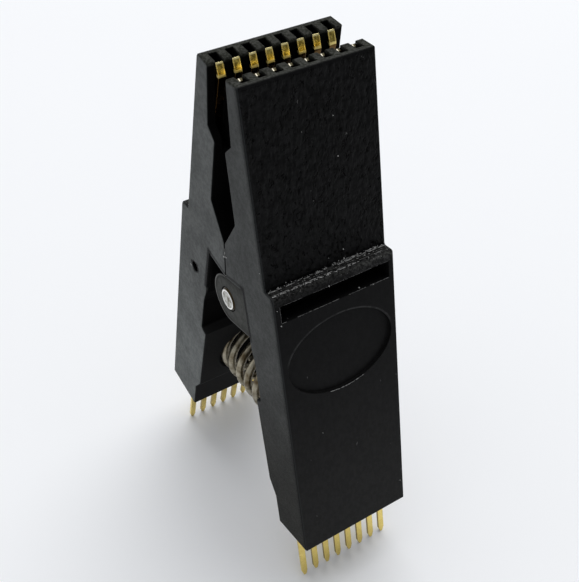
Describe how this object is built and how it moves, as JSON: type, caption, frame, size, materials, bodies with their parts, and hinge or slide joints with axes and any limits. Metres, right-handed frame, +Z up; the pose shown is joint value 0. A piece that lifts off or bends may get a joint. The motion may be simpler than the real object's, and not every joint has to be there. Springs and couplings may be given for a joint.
{
  "type": "ic test clip",
  "caption": "Spring-loaded clip that grips a small-outline chip by its leads and brings them out on header pins.",
  "frame": {"origin": "middle of the surface that the header pins stand on, under the hinge pin", "axes": "+Z up from the header pins to the jaws, +X along the hinge pin, -Y towards the front half"},
  "size_m": [0.0108, 0.0252, 0.047],
  "materials": {
    "moulding": "fine-grained black thermoplastic",
    "pin_steel": "plain ground pin",
    "spring_steel": "drawn spring wire",
    "contact_gold": "gold-plated stamped strip"
  },
  "bodies": {
    "front": {"front_half": "moulding", "hinge_pin": "pin_steel", "spring": "spring_steel", "contact_front_1": "contact_gold", "contact_front_2": "contact_gold", "contact_front_3": "contact_gold", "contact_front_4": "contact_gold", "contact_front_5": "contact_gold", "contact_front_6": "contact_gold", "contact_front_7": "contact_gold", "contact_front_8": "contact_gold"},
    "rear": {"rear_half": "moulding", "contact_rear_1": "contact_gold", "contact_rear_2": "contact_gold", "contact_rear_3": "contact_gold", "contact_rear_4": "contact_gold", "contact_rear_5": "contact_gold", "contact_rear_6": "contact_gold", "contact_rear_7": "contact_gold", "contact_rear_8": "contact_gold"}
  },
  "joints": [
    {"name": "jaw_hinge", "type": "hinge", "parent": "front", "child": "rear", "pos_m": [0, 0, 0.02683], "axis": [-1, 0, 0], "range_deg": [0, 22], "stiffness_Nm_per_rad": 0.26, "springref_deg": -16.62, "deforming": ["spring"]}
  ]
}
